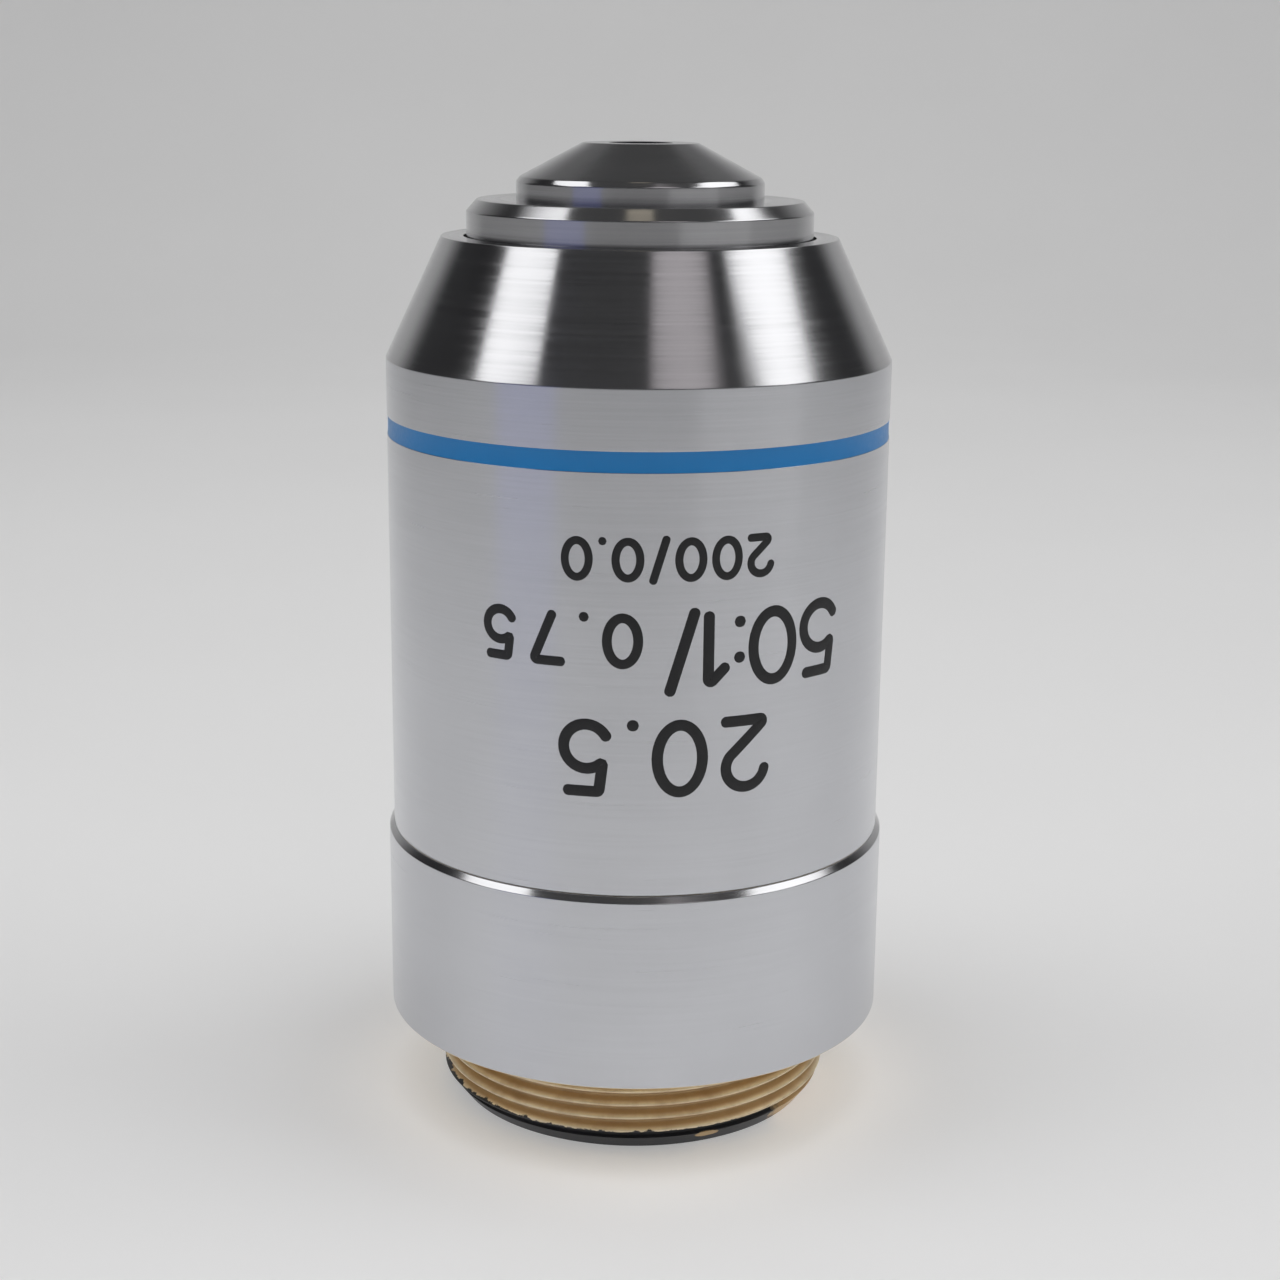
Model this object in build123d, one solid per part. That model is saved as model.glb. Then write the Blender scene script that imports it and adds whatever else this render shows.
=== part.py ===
from build123d import *
import math
import os

# Spring-loaded microscope objective, in millimetres.
# The origin is on the optical axis in the plane of the mounting shoulder, and +Z points to the front lens.

# Nosepiece thread: crest cylinder with a lead chamfer at its rear face and an undercut at the shoulder,
# whose seat is a ring clear of the crest
thread_crest_radius = 10.12
thread_length = 4.76
thread_lead = 1.05
thread_lead_depth = 0.79
thread_wall = 1.9
undercut_depth = 0.5
undercut_width = 0.75
shoulder_recess = 0.2
shoulder_clearance = 0.25
rear_bore_chamfer = 0.25
rear_step_height = 1.0

# Collar between the shoulder and the seam, and the spigot that enters the sleeve
collar_height = 9.76
collar_step = 0.25
collar_chamfer_height = 0.27
collar_foot_chamfer = 0.05
spigot_length = 5.24
spigot_fit = 0.02

# Outer sleeve: cylinder, conical front and the stop inside it
sleeve_radius = 12.59
sleeve_wall = 1.15
sleeve_length = 24.03
sleeve_foot_chamfer = 0.07
cone_height = 5.9
cone_land = 1.1
stop_below_cone = 0.5
spring_space = 2.89
nose_gap = 0.15

# Enamel band in its groove
band_width = 0.97
band_below_cone = 2.82
band_groove_depth = 0.2
band_sunk = 0.04

# Sliding lens barrel
travel = 2.5
guide_clearance = 0.05
barrel_wall = 1.25
barrel_end_chamfer = 0.2
barrel_rear_margin = 0.5
flange_thickness = 2.5
flange_clearance = 0.25
shim_thickness = 0.2
shim_clearance = 0.15
nose_exposure = 1.76
nose_ring_chamfer = 0.5
nose_ring_chamfer_height = 0.56

# Return spring of flat wire
spring_wire_width = 0.8
spring_wire_height = 0.7
spring_turns = 5

# Guide screw in the spigot, and the slot that it runs in
screw_radius = 1.0
screw_sunk = 0.3
screw_fit = 0.02
screw_slot_width = 0.4
screw_slot_depth = 0.5
dog_radius = 0.7
dog_clearance = 0.06
dog_tip_gap = 0.12
slot_floor_wall = 0.6

# Nose cap with the front opening
nose_radius = 6.1
nose_rim_height = 1.0
nose_rim_bevel = 0.16
nose_cone_height = 1.73
nose_tip_radius = 2.84
nose_seat_width = 0.5
nose_tail_wall = 1.3
nose_tail_cover = 0.6
nose_tail_gap = 1.0
nose_fit = 0.02
front_opening_radius = 1.565
front_lip = 0.25
front_pocket_depth = 2.0

# Fits that all the lenses and cells share
lens_fit = 0.02
cell_fit = 0.02
cement = 0.01
seat_width = 0.6
seat_cover = 0.3
lens_recess = 0.5

# Front lens: flat front, strongly curved rear
front_lens_seat = 0.4
front_lens_edge = 0.9
front_lens_rear_curve = 3.0

# Second lens: meniscus in a cell inside the nose cap
second_cell_wall = 0.65
second_front_curve = 9.0
second_rear_curve = 7.5
second_edge = 1.0

# The curves of the cemented groups are given as multiples of the lens's own radius.
# Front doublet
front_cell_wall = 2.0
front_curve_ratio = 2.28
front_cement_ratio = 1.8
front_rear_ratio = 5.7
front_crown_edge = 0.8
front_flint_centre = 1.5

# Middle doublet
middle_cell_wall = 1.6
middle_curve_ratio = 2.65
middle_cement_ratio = 1.85
middle_rear_ratio = 7.0
middle_crown_edge = 0.8
middle_flint_centre = 1.6

# Aperture stop, and the spacer tube behind it
stop_thickness = 0.6
stop_width = 2.88
spacer_wall = 1.3

# Rear group: thick meniscus, hollow towards the rear
rear_cell_wall = 1.3
rear_curve_ratio = 1.85
rear_cement_ratio = 2.7
rear_hollow_ratio = 1.7
rear_crown_edge = 1.0
rear_flint_centre = 2.0

# Retaining ring behind the rear cell, with slots for a pin spanner
ring_length = 1.8
ring_wall = 1.6
ring_recess = 0.8
spanner_slot_width = 1.2
spanner_slot_depth = 0.8

# Radii that follow from the sizes above, from the outside inwards
rear_bore_radius = thread_crest_radius - thread_wall
collar_radius = sleeve_radius + collar_step
sleeve_bore_radius = sleeve_radius - sleeve_wall
spigot_radius = sleeve_bore_radius - spigot_fit
flange_radius = sleeve_bore_radius - flange_clearance
spring_mean_radius = sleeve_bore_radius - spring_space / 2
barrel_radius = sleeve_bore_radius - spring_space
guide_bore_radius = barrel_radius + guide_clearance
barrel_bore_radius = barrel_radius - barrel_wall
front_bore_radius = barrel_radius + nose_gap
cone_front_radius = front_bore_radius + cone_land
nose_tail_radius = nose_radius - nose_seat_width
nose_pocket_radius = nose_tail_radius - nose_tail_wall
second_cell_radius = nose_pocket_radius - cell_fit
second_lens_radius = second_cell_radius - second_cell_wall - lens_fit
front_lens_radius = front_opening_radius + front_lens_seat
cell_radius = barrel_bore_radius - cell_fit
front_lens_pocket_radius = front_lens_radius + lens_fit
slot_floor_radius = barrel_bore_radius + slot_floor_wall

# Heights that follow from the sizes above
seam_z = collar_height
spigot_top_z = seam_z + spigot_length
cone_base_z = seam_z + sleeve_length
cone_front_z = cone_base_z + cone_height
sleeve_stop_z = cone_base_z - stop_below_cone
band_top_z = cone_base_z - band_below_cone
band_bottom_z = band_top_z - band_width
flange_top_z = sleeve_stop_z - shim_thickness
flange_bottom_z = flange_top_z - flange_thickness
barrel_rear_z = rear_step_height + travel + barrel_rear_margin
nose_ring_top_z = cone_front_z + nose_exposure
nose_rim_top_z = nose_ring_top_z + nose_rim_height
nose_tip_z = nose_rim_top_z + nose_cone_height
front_seat_z = nose_tip_z - front_lip
second_cell_top_z = front_seat_z - front_pocket_depth
guide_z = seam_z + spigot_length / 2
ring_rear_z = barrel_rear_z + ring_recess
ring_top_z = ring_rear_z + ring_length


def sag(curve, radius):
    """Depth of a spherical surface from its vertex to a radius; a positive curve bulges towards +Z."""
    return curve - math.copysign(math.sqrt(curve**2 - radius**2), curve)


def turned(*outline):
    """Solid of revolution about the optical axis from (radius, height) points."""
    face = make_face(Polyline(*outline, close=True))
    return revolve(Plane.XZ * face, Axis.Z)


def surface(vertex_z, curve, radius):
    """Half profile of a spherical surface, from the axis to its rim."""
    middle = radius / 2
    return ThreePointArc(
        (0, vertex_z),
        (middle, vertex_z - sag(curve, middle)),
        (radius, vertex_z - sag(curve, radius)),
    )


def lens(radius, front_z, front_curve, rear_z, rear_curve):
    """Lens with two spherical faces and a ground cylindrical edge."""
    front = surface(front_z, front_curve, radius)
    rear = surface(rear_z, rear_curve, radius)
    edge = Line(front @ 1, rear @ 1)
    axis = Line(rear @ 0, front @ 0)
    face = make_face([front, edge, rear, axis])
    return revolve(Plane.XZ * face, Axis.Z)


def cell(outer_radius, pocket_radius, aperture, top_z, seat_z, bottom_z):
    """Ring that holds a lens from the rear: a lip in front of a pocket that is open behind."""
    return turned(
        (aperture, top_z),
        (outer_radius, top_z),
        (outer_radius, bottom_z),
        (pocket_radius, bottom_z),
        (pocket_radius, seat_z),
        (aperture, seat_z),
    )


def cemented_group(top_z, wall, curve_ratio, cement_ratio, rear_ratio, crown_edge, flint_centre):
    """Cell with two cemented lenses: a crown with a bulging front, and a flint behind it.

    The crown's front surface rests on the lip's inner edge. Returns the three solids and the height
    of the cell's rear face.
    """
    radius = cell_radius - wall - lens_fit
    aperture = radius - seat_width
    curve = radius * curve_ratio
    cement_curve = radius * cement_ratio
    rear_curve = radius * rear_ratio
    front_z = top_z - seat_cover
    seat_z = front_z - sag(curve, aperture)
    crown_rear_z = front_z - sag(curve, radius) - crown_edge + sag(cement_curve, radius)
    flint_front_z = crown_rear_z - cement
    flint_rear_z = flint_front_z - flint_centre
    rear_rim_z = flint_rear_z - sag(rear_curve, radius)
    bottom_z = min(flint_rear_z, rear_rim_z) - lens_recess
    holder = cell(cell_radius, radius + lens_fit, aperture, top_z, seat_z, bottom_z)
    crown = lens(radius, front_z, curve, crown_rear_z, cement_curve)
    flint = lens(radius, flint_front_z, cement_curve, flint_rear_z, rear_curve)
    return holder, crown, flint, bottom_z


def radial_rod(radius, inner, outer, height):
    """Round rod that points along +Y, between two distances from the optical axis."""
    base = Plane(origin=(0, inner, height), x_dir=(1, 0, 0), z_dir=(0, 1, 0))
    return extrude(base * Circle(radius), outer - inner)


def make_mount_body():
    body = turned(
        (rear_bore_radius + rear_bore_chamfer, -thread_length),
        (thread_crest_radius - thread_lead_depth, -thread_length),
        (thread_crest_radius, thread_lead - thread_length),
        (thread_crest_radius, -undercut_width - undercut_depth),
        (thread_crest_radius - undercut_depth, -undercut_width),
        (thread_crest_radius - undercut_depth, shoulder_recess),
        (thread_crest_radius + shoulder_clearance, shoulder_recess),
        (thread_crest_radius + shoulder_clearance, 0),
        (collar_radius - collar_foot_chamfer, 0),
        (collar_radius, collar_foot_chamfer),
        (collar_radius, seam_z - collar_chamfer_height),
        (sleeve_radius, seam_z),
        (spigot_radius, seam_z),
        (spigot_radius, spigot_top_z),
        (guide_bore_radius, spigot_top_z),
        (guide_bore_radius, rear_step_height),
        (rear_bore_radius, rear_step_height),
        (rear_bore_radius, rear_bore_chamfer - thread_length),
    )
    return body - radial_rod(screw_radius + screw_fit, barrel_bore_radius, sleeve_radius, guide_z)


def make_outer_sleeve():
    groove_radius = sleeve_radius - band_groove_depth
    return turned(
        (sleeve_bore_radius, seam_z),
        (sleeve_radius - sleeve_foot_chamfer, seam_z),
        (sleeve_radius, seam_z + sleeve_foot_chamfer),
        (sleeve_radius, band_bottom_z),
        (groove_radius, band_bottom_z),
        (groove_radius, band_top_z),
        (sleeve_radius, band_top_z),
        (sleeve_radius, cone_base_z),
        (cone_front_radius, cone_front_z),
        (front_bore_radius, cone_front_z),
        (front_bore_radius, sleeve_stop_z),
        (sleeve_bore_radius, sleeve_stop_z),
    )


def make_colour_band():
    inner = sleeve_radius - band_groove_depth
    outer = sleeve_radius - band_sunk
    return turned(
        (inner, band_bottom_z),
        (outer, band_bottom_z),
        (outer, band_top_z),
        (inner, band_top_z),
    )


def make_lens_barrel(front_shoulder_z):
    front_bore = nose_tail_radius + nose_fit
    tube = turned(
        (barrel_bore_radius, barrel_rear_z),
        (barrel_radius - barrel_end_chamfer, barrel_rear_z),
        (barrel_radius, barrel_rear_z + barrel_end_chamfer),
        (barrel_radius, flange_bottom_z),
        (flange_radius, flange_bottom_z),
        (flange_radius, flange_top_z),
        (barrel_radius, flange_top_z),
        (barrel_radius, nose_ring_top_z - nose_ring_chamfer_height),
        (barrel_radius - nose_ring_chamfer, nose_ring_top_z),
        (front_bore, nose_ring_top_z),
        (front_bore, front_shoulder_z),
        (barrel_bore_radius, front_shoulder_z),
    )
    slot_width = 2 * (dog_radius + dog_clearance)
    slot_run = travel + 2 * dog_clearance
    slot_middle_z = guide_z + travel / 2
    slot_plane = Plane(origin=(0, slot_floor_radius, slot_middle_z), x_dir=(0, 0, 1), z_dir=(0, 1, 0))
    slot = extrude(slot_plane * SlotCenterToCenter(slot_run, slot_width), barrel_radius)
    return tube - slot


def make_parfocal_shim():
    inner = front_bore_radius + shim_clearance
    outer = flange_radius - shim_clearance
    return turned(
        (inner, flange_top_z),
        (outer, flange_top_z),
        (outer, sleeve_stop_z),
        (inner, sleeve_stop_z),
    )


def make_return_spring():
    """Flat-wire coil with its two ends ground flat on the spigot and on the barrel's flange."""
    length = flange_bottom_z - spigot_top_z
    path = Helix(pitch=length / spring_turns, height=length, radius=spring_mean_radius)
    wire_plane = Plane(origin=path @ 0, x_dir=(1, 0, 0), z_dir=path % 0)
    coil = sweep(wire_plane * Rectangle(spring_wire_width, spring_wire_height), path, is_frenet=True)
    between_seats = Cylinder(sleeve_bore_radius, length, align=(Align.CENTER, Align.CENTER, Align.MIN))
    return Pos(0, 0, spigot_top_z) * (coil & between_seats)


def make_guide_screw():
    """Slotted screw with a dog point that enters the barrel's slot."""
    head = spigot_radius - screw_sunk
    shank = radial_rod(screw_radius, guide_bore_radius + screw_fit, head, guide_z)
    dog = radial_rod(dog_radius, slot_floor_radius + dog_tip_gap, head, guide_z)
    slot = Pos(0, head, guide_z) * Box(screw_slot_width, 2 * screw_slot_depth, 3 * screw_radius)
    return shank + dog - slot


def make_nose_cap(tail_z):
    cone_slope = nose_cone_height / (nose_radius - nose_tip_radius)
    return turned(
        (front_opening_radius, nose_tip_z),
        (nose_tip_radius, nose_tip_z),
        (nose_radius - nose_rim_bevel, nose_rim_top_z + nose_rim_bevel * cone_slope),
        (nose_radius, nose_rim_top_z - nose_rim_bevel),
        (nose_radius, nose_ring_top_z),
        (nose_tail_radius, nose_ring_top_z),
        (nose_tail_radius, tail_z),
        (nose_pocket_radius, tail_z),
        (nose_pocket_radius, second_cell_top_z),
        (front_lens_pocket_radius, second_cell_top_z),
        (front_lens_pocket_radius, front_seat_z),
        (front_opening_radius, front_seat_z),
    )


def make_front_lens():
    rim_z = front_seat_z - front_lens_edge
    rear_z = rim_z + sag(-front_lens_rear_curve, front_lens_radius)
    rear = surface(rear_z, -front_lens_rear_curve, front_lens_radius)
    outline = Polyline(rear @ 1, (front_lens_radius, front_seat_z), (0, front_seat_z), rear @ 0)
    return revolve(Plane.XZ * make_face([rear, outline]), Axis.Z)


def make_second_group():
    """Meniscus in its cell: the lens rests with the rim of its hollow front on the cell's lip."""
    aperture = second_lens_radius - seat_width
    seat_z = second_cell_top_z - seat_cover
    front_z = seat_z + sag(-second_front_curve, second_lens_radius)
    rear_z = seat_z - second_edge + sag(-second_rear_curve, second_lens_radius)
    bottom_z = rear_z - lens_recess
    pocket = second_lens_radius + lens_fit
    holder = cell(second_cell_radius, pocket, aperture, second_cell_top_z, seat_z, bottom_z)
    glass = lens(second_lens_radius, front_z, -second_front_curve, rear_z, -second_rear_curve)
    return holder, glass, bottom_z


def make_ring(outer, inner, top_z, bottom_z):
    return turned((inner, bottom_z), (outer, bottom_z), (outer, top_z), (inner, top_z))


def make_retaining_ring():
    ring = make_ring(cell_radius, cell_radius - ring_wall, ring_top_z, ring_rear_z)
    slots = Pos(0, 0, ring_rear_z) * Box(3 * cell_radius, spanner_slot_width, 2 * spanner_slot_depth)
    return ring - slots


# The lens stack is laid out from the nose towards the rear; the rear group stands on the retaining
# ring, and the spacer tube fills what is left between the two.
second_cell, second_lens, second_bottom_z = make_second_group()
nose_tail_z = second_bottom_z - nose_tail_cover
front_shoulder_z = nose_tail_z - nose_tail_gap

front_cell, front_crown, front_flint, front_bottom_z = cemented_group(
    front_shoulder_z,
    front_cell_wall,
    front_curve_ratio,
    -front_cement_ratio,
    -front_rear_ratio,
    front_crown_edge,
    front_flint_centre,
)
middle_cell, middle_crown, middle_flint, middle_bottom_z = cemented_group(
    front_bottom_z,
    middle_cell_wall,
    middle_curve_ratio,
    -middle_cement_ratio,
    -middle_rear_ratio,
    middle_crown_edge,
    middle_flint_centre,
)
stop_bottom_z = middle_bottom_z - stop_thickness

# The rear group is made with its front face at height 0 and then lifted until it stands on the ring.
rear_cell, rear_crown, rear_flint, rear_bottom_z = cemented_group(
    0,
    rear_cell_wall,
    rear_curve_ratio,
    -rear_cement_ratio,
    rear_hollow_ratio,
    rear_crown_edge,
    rear_flint_centre,
)
rear_cell_top_z = ring_top_z - rear_bottom_z
rear_place = Pos(0, 0, rear_cell_top_z)

nodes = {
    "mount_body": make_mount_body(),
    "outer_sleeve": make_outer_sleeve(),
    "colour_band": make_colour_band(),
    "return_spring": make_return_spring(),
    "guide_screw": make_guide_screw(),
    "lens_barrel": make_lens_barrel(front_shoulder_z),
    "parfocal_shim": make_parfocal_shim(),
    "nose_cap": make_nose_cap(nose_tail_z),
    "front_lens": make_front_lens(),
    "second_cell": second_cell,
    "second_lens": second_lens,
    "front_doublet_cell": front_cell,
    "front_doublet_crown": front_crown,
    "front_doublet_flint": front_flint,
    "middle_doublet_cell": middle_cell,
    "middle_doublet_crown": middle_crown,
    "middle_doublet_flint": middle_flint,
    "aperture_stop": make_ring(cell_radius, cell_radius - stop_width, middle_bottom_z, stop_bottom_z),
    "spacer_tube": make_ring(cell_radius, cell_radius - spacer_wall, stop_bottom_z, rear_cell_top_z),
    "rear_cell": rear_place * rear_cell,
    "rear_crown": rear_place * rear_crown,
    "rear_flint": rear_place * rear_flint,
    "rear_retaining_ring": make_retaining_ring(),
}

os.makedirs("parts", exist_ok=True)
for name, solid in nodes.items():
    export_step(solid, f"parts/{name}.step")
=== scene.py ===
import bmesh
import bpy
import math
from mathutils import Matrix, Vector


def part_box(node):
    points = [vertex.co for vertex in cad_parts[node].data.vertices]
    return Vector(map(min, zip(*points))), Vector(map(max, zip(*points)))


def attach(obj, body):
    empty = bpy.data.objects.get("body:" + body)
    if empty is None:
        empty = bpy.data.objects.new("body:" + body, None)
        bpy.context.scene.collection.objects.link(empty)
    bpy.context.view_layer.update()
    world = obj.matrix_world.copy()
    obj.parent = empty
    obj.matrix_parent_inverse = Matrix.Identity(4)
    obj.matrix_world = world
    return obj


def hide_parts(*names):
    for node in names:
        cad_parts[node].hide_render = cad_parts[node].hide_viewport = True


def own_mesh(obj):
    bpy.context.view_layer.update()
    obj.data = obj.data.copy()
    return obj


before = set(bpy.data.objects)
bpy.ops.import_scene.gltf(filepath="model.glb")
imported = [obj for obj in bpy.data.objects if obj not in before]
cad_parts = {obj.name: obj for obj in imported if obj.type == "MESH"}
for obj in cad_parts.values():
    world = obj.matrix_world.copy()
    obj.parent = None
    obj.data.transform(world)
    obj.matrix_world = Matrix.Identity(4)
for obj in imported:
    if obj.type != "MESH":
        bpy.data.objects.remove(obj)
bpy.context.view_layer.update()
scene = bpy.context.scene
mm = 0.001
sharpAngle = math.radians(40)
mergeReach = 1e-7  # metres
noiseLow, noiseHigh = 0.25, 0.75  # most of a noise texture lies between these
print("frame loaded:", len(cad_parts), "nodes")


def linearColour(hexColour):
    values = [int(hexColour[i:i + 2], 16) / 255 for i in (1, 3, 5)]
    return [v / 12.92 if v <= 0.04045 else ((v + 0.055) / 1.055) ** 2.4 for v in values] + [1.0]


def addNode(tree, kind, inputs=None, **settings):
    node = tree.nodes.new(kind)
    for name, value in settings.items():
        setattr(node, name, value)
    for socket, value in (inputs or {}).items():
        if isinstance(value, bpy.types.NodeSocket):
            tree.links.new(value, node.inputs[socket])
        else:
            node.inputs[socket].default_value = value
    return node


def startFinish(name):
    finish = bpy.data.materials.new(name)
    finish.use_nodes = True
    tree = finish.node_tree
    tree.nodes.clear()
    place = addNode(tree, "ShaderNodeTexCoord").outputs["Object"]
    return finish, tree, place


def endFinish(tree, surface):
    addNode(tree, "ShaderNodeOutputMaterial", {"Surface": surface.outputs["BSDF"]})


def axisPlace(tree, place):
    parts = addNode(tree, "ShaderNodeSeparateXYZ", {0: place}).outputs
    flat = addNode(tree, "ShaderNodeCombineXYZ", {"X": parts["X"], "Y": parts["Y"]}).outputs[0]
    radius = addNode(tree, "ShaderNodeVectorMath", {0: flat}, operation="LENGTH").outputs["Value"]
    return parts, flat, radius


def latheLines(tree, place, lineWidth, wander):
    # tool lines run round the optical axis on cylinders, cones and end faces alike,
    # because height plus a share of the radius changes along each of those
    radiusShare = 0.7
    parts, flat, radius = axisPlace(tree, place)
    along = addNode(tree, "ShaderNodeMath", {
        0: radius, 1: radiusShare, 2: parts["Z"]}, operation="MULTIPLY_ADD").outputs[0]
    lines = addNode(tree, "ShaderNodeMath", {
        0: along, 1: 1 / (lineWidth * mm)}, operation="MULTIPLY").outputs[0]
    sweep = addNode(tree, "ShaderNodeVectorMath", {
        0: flat, "Scale": 1 / (wander * mm)}, operation="SCALE").outputs[0]
    turn = addNode(tree, "ShaderNodeCombineXYZ", {"Z": lines}).outputs[0]
    vector = addNode(tree, "ShaderNodeVectorMath", {0: sweep, 1: turn}, operation="ADD").outputs[0]
    noise = addNode(tree, "ShaderNodeTexNoise", {
        "Vector": vector, "Scale": 1.0, "Detail": 3.0, "Roughness": 0.6})
    return noise.outputs["Fac"]


def platedFinish(name, look):
    finish, tree, place = startFinish(name)
    lines = latheLines(tree, place, look["lineWidth"], look["lineWander"])
    haze = addNode(tree, "ShaderNodeTexNoise", {
        "Vector": place, "Scale": 1 / (look["hazeSize"] * mm),
        "Detail": 3.0, "Roughness": 0.55}).outputs["Fac"]
    grain = addNode(tree, "ShaderNodeTexNoise", {
        "Vector": place, "Scale": 1 / (look["grainSize"] * mm), "Detail": 2.0}).outputs["Fac"]
    tint = addNode(tree, "ShaderNodeMix", {
        0: haze, 6: linearColour(look["dull"]), 7: linearColour(look["bright"])}, data_type="RGBA")
    low, high = look["roughness"]
    rough = addNode(tree, "ShaderNodeMapRange", {
        0: lines, 1: noiseLow, 2: noiseHigh, 3: low, 4: high}).outputs[0]
    relief = addNode(tree, "ShaderNodeMath", {
        0: grain, 1: look["grainShare"], 2: lines}, operation="MULTIPLY_ADD")
    bump = addNode(tree, "ShaderNodeBump", {
        "Strength": look["relief"], "Distance": look["reliefDepth"] * mm, "Height": relief.outputs[0]})
    axial = addNode(tree, "ShaderNodeTangent", direction_type="RADIAL", axis="Z")
    quarterTurn = 0.25
    surface = addNode(tree, "ShaderNodeBsdfPrincipled", {
        "Base Color": tint.outputs[2], "Metallic": 1.0, "Roughness": rough, "Normal": bump.outputs[0],
        "Anisotropic": look["anisotropy"], "Anisotropic Rotation": quarterTurn,
        "Tangent": axial.outputs[0]})
    endFinish(tree, surface)
    return finish


# satin chrome: brass turned, bead-blasted and chrome plated, so it gives wide soft reflections
# with faint tool lines
satinChrome = platedFinish("satin_chrome_plate", {
    "dull": "#CBCCD0", "bright": "#D8D9DD", "roughness": (0.2, 0.28),
    "lineWidth": 0.12,  # real feed lines are 0.04 mm apart, drawn wider so that they show
    "lineWander": 9.0, "hazeSize": 7.0, "grainSize": 0.12, "grainShare": 0.8,
    "relief": 0.25, "reliefDepth": 0.004, "anisotropy": 0.8})

# polished chrome: the same plate over a finer cut, mirror bright round the axis and drawn out
# along the slope
polishedChrome = platedFinish("polished_chrome_plate", {
    "dull": "#B9B9BB", "bright": "#C6C6C8", "roughness": (0.13, 0.22),
    "lineWidth": 0.1, "lineWander": 14.0, "hazeSize": 5.0, "grainSize": 0.15, "grainShare": 0.1,
    "relief": 0.2, "reliefDepth": 0.002, "anisotropy": 0.75})


def brassFinish(name, look):
    finish, tree, place = startFinish(name)
    parts, _, radius = axisPlace(tree, place)
    lines = latheLines(tree, place, look["lineWidth"], look["lineWander"])
    # painted highlight on the thread crests and painted shade in its grooves, mixed by radius
    crest = addNode(tree, "ShaderNodeMapRange", {
        0: radius, 1: look["root"] * mm, 2: look["crest"] * mm}, interpolation_type="SMOOTHSTEP").outputs[0]
    metal = addNode(tree, "ShaderNodeMix", {
        0: crest, 6: linearColour(look["grooveShadeColour"]),
        7: linearColour(look["crestHighlightColour"])}, data_type="RGBA")
    tarnish = addNode(tree, "ShaderNodeTexNoise", {
        "Vector": place, "Scale": 1 / (look["tarnishSize"] * mm),
        "Detail": 4.0, "Roughness": 0.6}).outputs["Fac"]
    clean, dirty = look["tarnishRange"]
    stained = addNode(tree, "ShaderNodeMapRange", {
        0: tarnish, 1: clean, 2: dirty, 3: 0.0, 4: look["tarnish"]}).outputs[0]
    metal = addNode(tree, "ShaderNodeMix", {
        0: stained, 6: metal.outputs[2], 7: linearColour(look["tarnishColour"])}, data_type="RGBA")
    # paint lies on the end face and the lead chamfer, and ends in a ragged edge; inside the bore it
    # is whole
    ragged = addNode(tree, "ShaderNodeTexNoise", {
        "Vector": place, "Scale": 1 / (look["raggedSize"] * mm),
        "Detail": 3.0, "Roughness": 0.65}).outputs["Fac"]
    edge = addNode(tree, "ShaderNodeMath", {
        0: ragged, 1: -look["raggedDepth"] * mm, 2: parts["Z"]}, operation="MULTIPLY_ADD").outputs[0]
    middle = (look["paintTop"] - 0.5 * look["raggedDepth"]) * mm
    outside = addNode(tree, "ShaderNodeMapRange", {
        0: edge, 1: middle + look["paintEdge"] * mm, 2: middle - look["paintEdge"] * mm}).outputs[0]
    for spot, reach in look["wornSpots"]:
        away = addNode(tree, "ShaderNodeVectorMath", {
            0: place, 1: [v * mm for v in spot]}, operation="SUBTRACT").outputs[0]
        away = addNode(tree, "ShaderNodeVectorMath", {
            0: away, 1: [1 / (v * mm) for v in reach]}, operation="MULTIPLY").outputs[0]
        away = addNode(tree, "ShaderNodeVectorMath", {0: away}, operation="LENGTH").outputs["Value"]
        away = addNode(tree, "ShaderNodeMath", {
            0: ragged, 1: look["wornRagged"], 2: away}, operation="MULTIPLY_ADD").outputs[0]
        worn, whole = look["wornRange"]
        kept = addNode(tree, "ShaderNodeMapRange", {0: away, 1: worn, 2: whole}).outputs[0]
        outside = addNode(tree, "ShaderNodeMath", {0: outside, 1: kept}, operation="MULTIPLY").outputs[0]
    bore = addNode(tree, "ShaderNodeMath", {
        0: radius, 1: look["boreEdge"] * mm}, operation="LESS_THAN").outputs[0]
    paint = addNode(tree, "ShaderNodeMath", {0: outside, 1: bore}, operation="MAXIMUM").outputs[0]
    tint = addNode(tree, "ShaderNodeMix", {
        0: paint, 6: metal.outputs[2], 7: linearColour(look["paintColour"])}, data_type="RGBA")
    bare = addNode(tree, "ShaderNodeMapRange", {0: paint, 3: look["metallic"], 4: 0.0}).outputs[0]
    low, high = look["roughness"]
    rough = addNode(tree, "ShaderNodeMapRange", {
        0: lines, 1: noiseLow, 2: noiseHigh, 3: low, 4: high}).outputs[0]
    rough = addNode(tree, "ShaderNodeMix", {0: paint, 2: rough, 3: look["paintRoughness"]}).outputs[0]
    relief = addNode(tree, "ShaderNodeMath", {
        0: paint, 1: look["paintRelief"], 2: lines}, operation="MULTIPLY_ADD").outputs[0]
    bump = addNode(tree, "ShaderNodeBump", {
        "Strength": look["relief"], "Distance": look["reliefDepth"] * mm, "Height": relief})
    surface = addNode(tree, "ShaderNodeBsdfPrincipled", {
        "Base Color": tint.outputs[2], "Metallic": bare, "Roughness": rough, "Normal": bump.outputs[0]})
    endFinish(tree, surface)
    return finish
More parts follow.
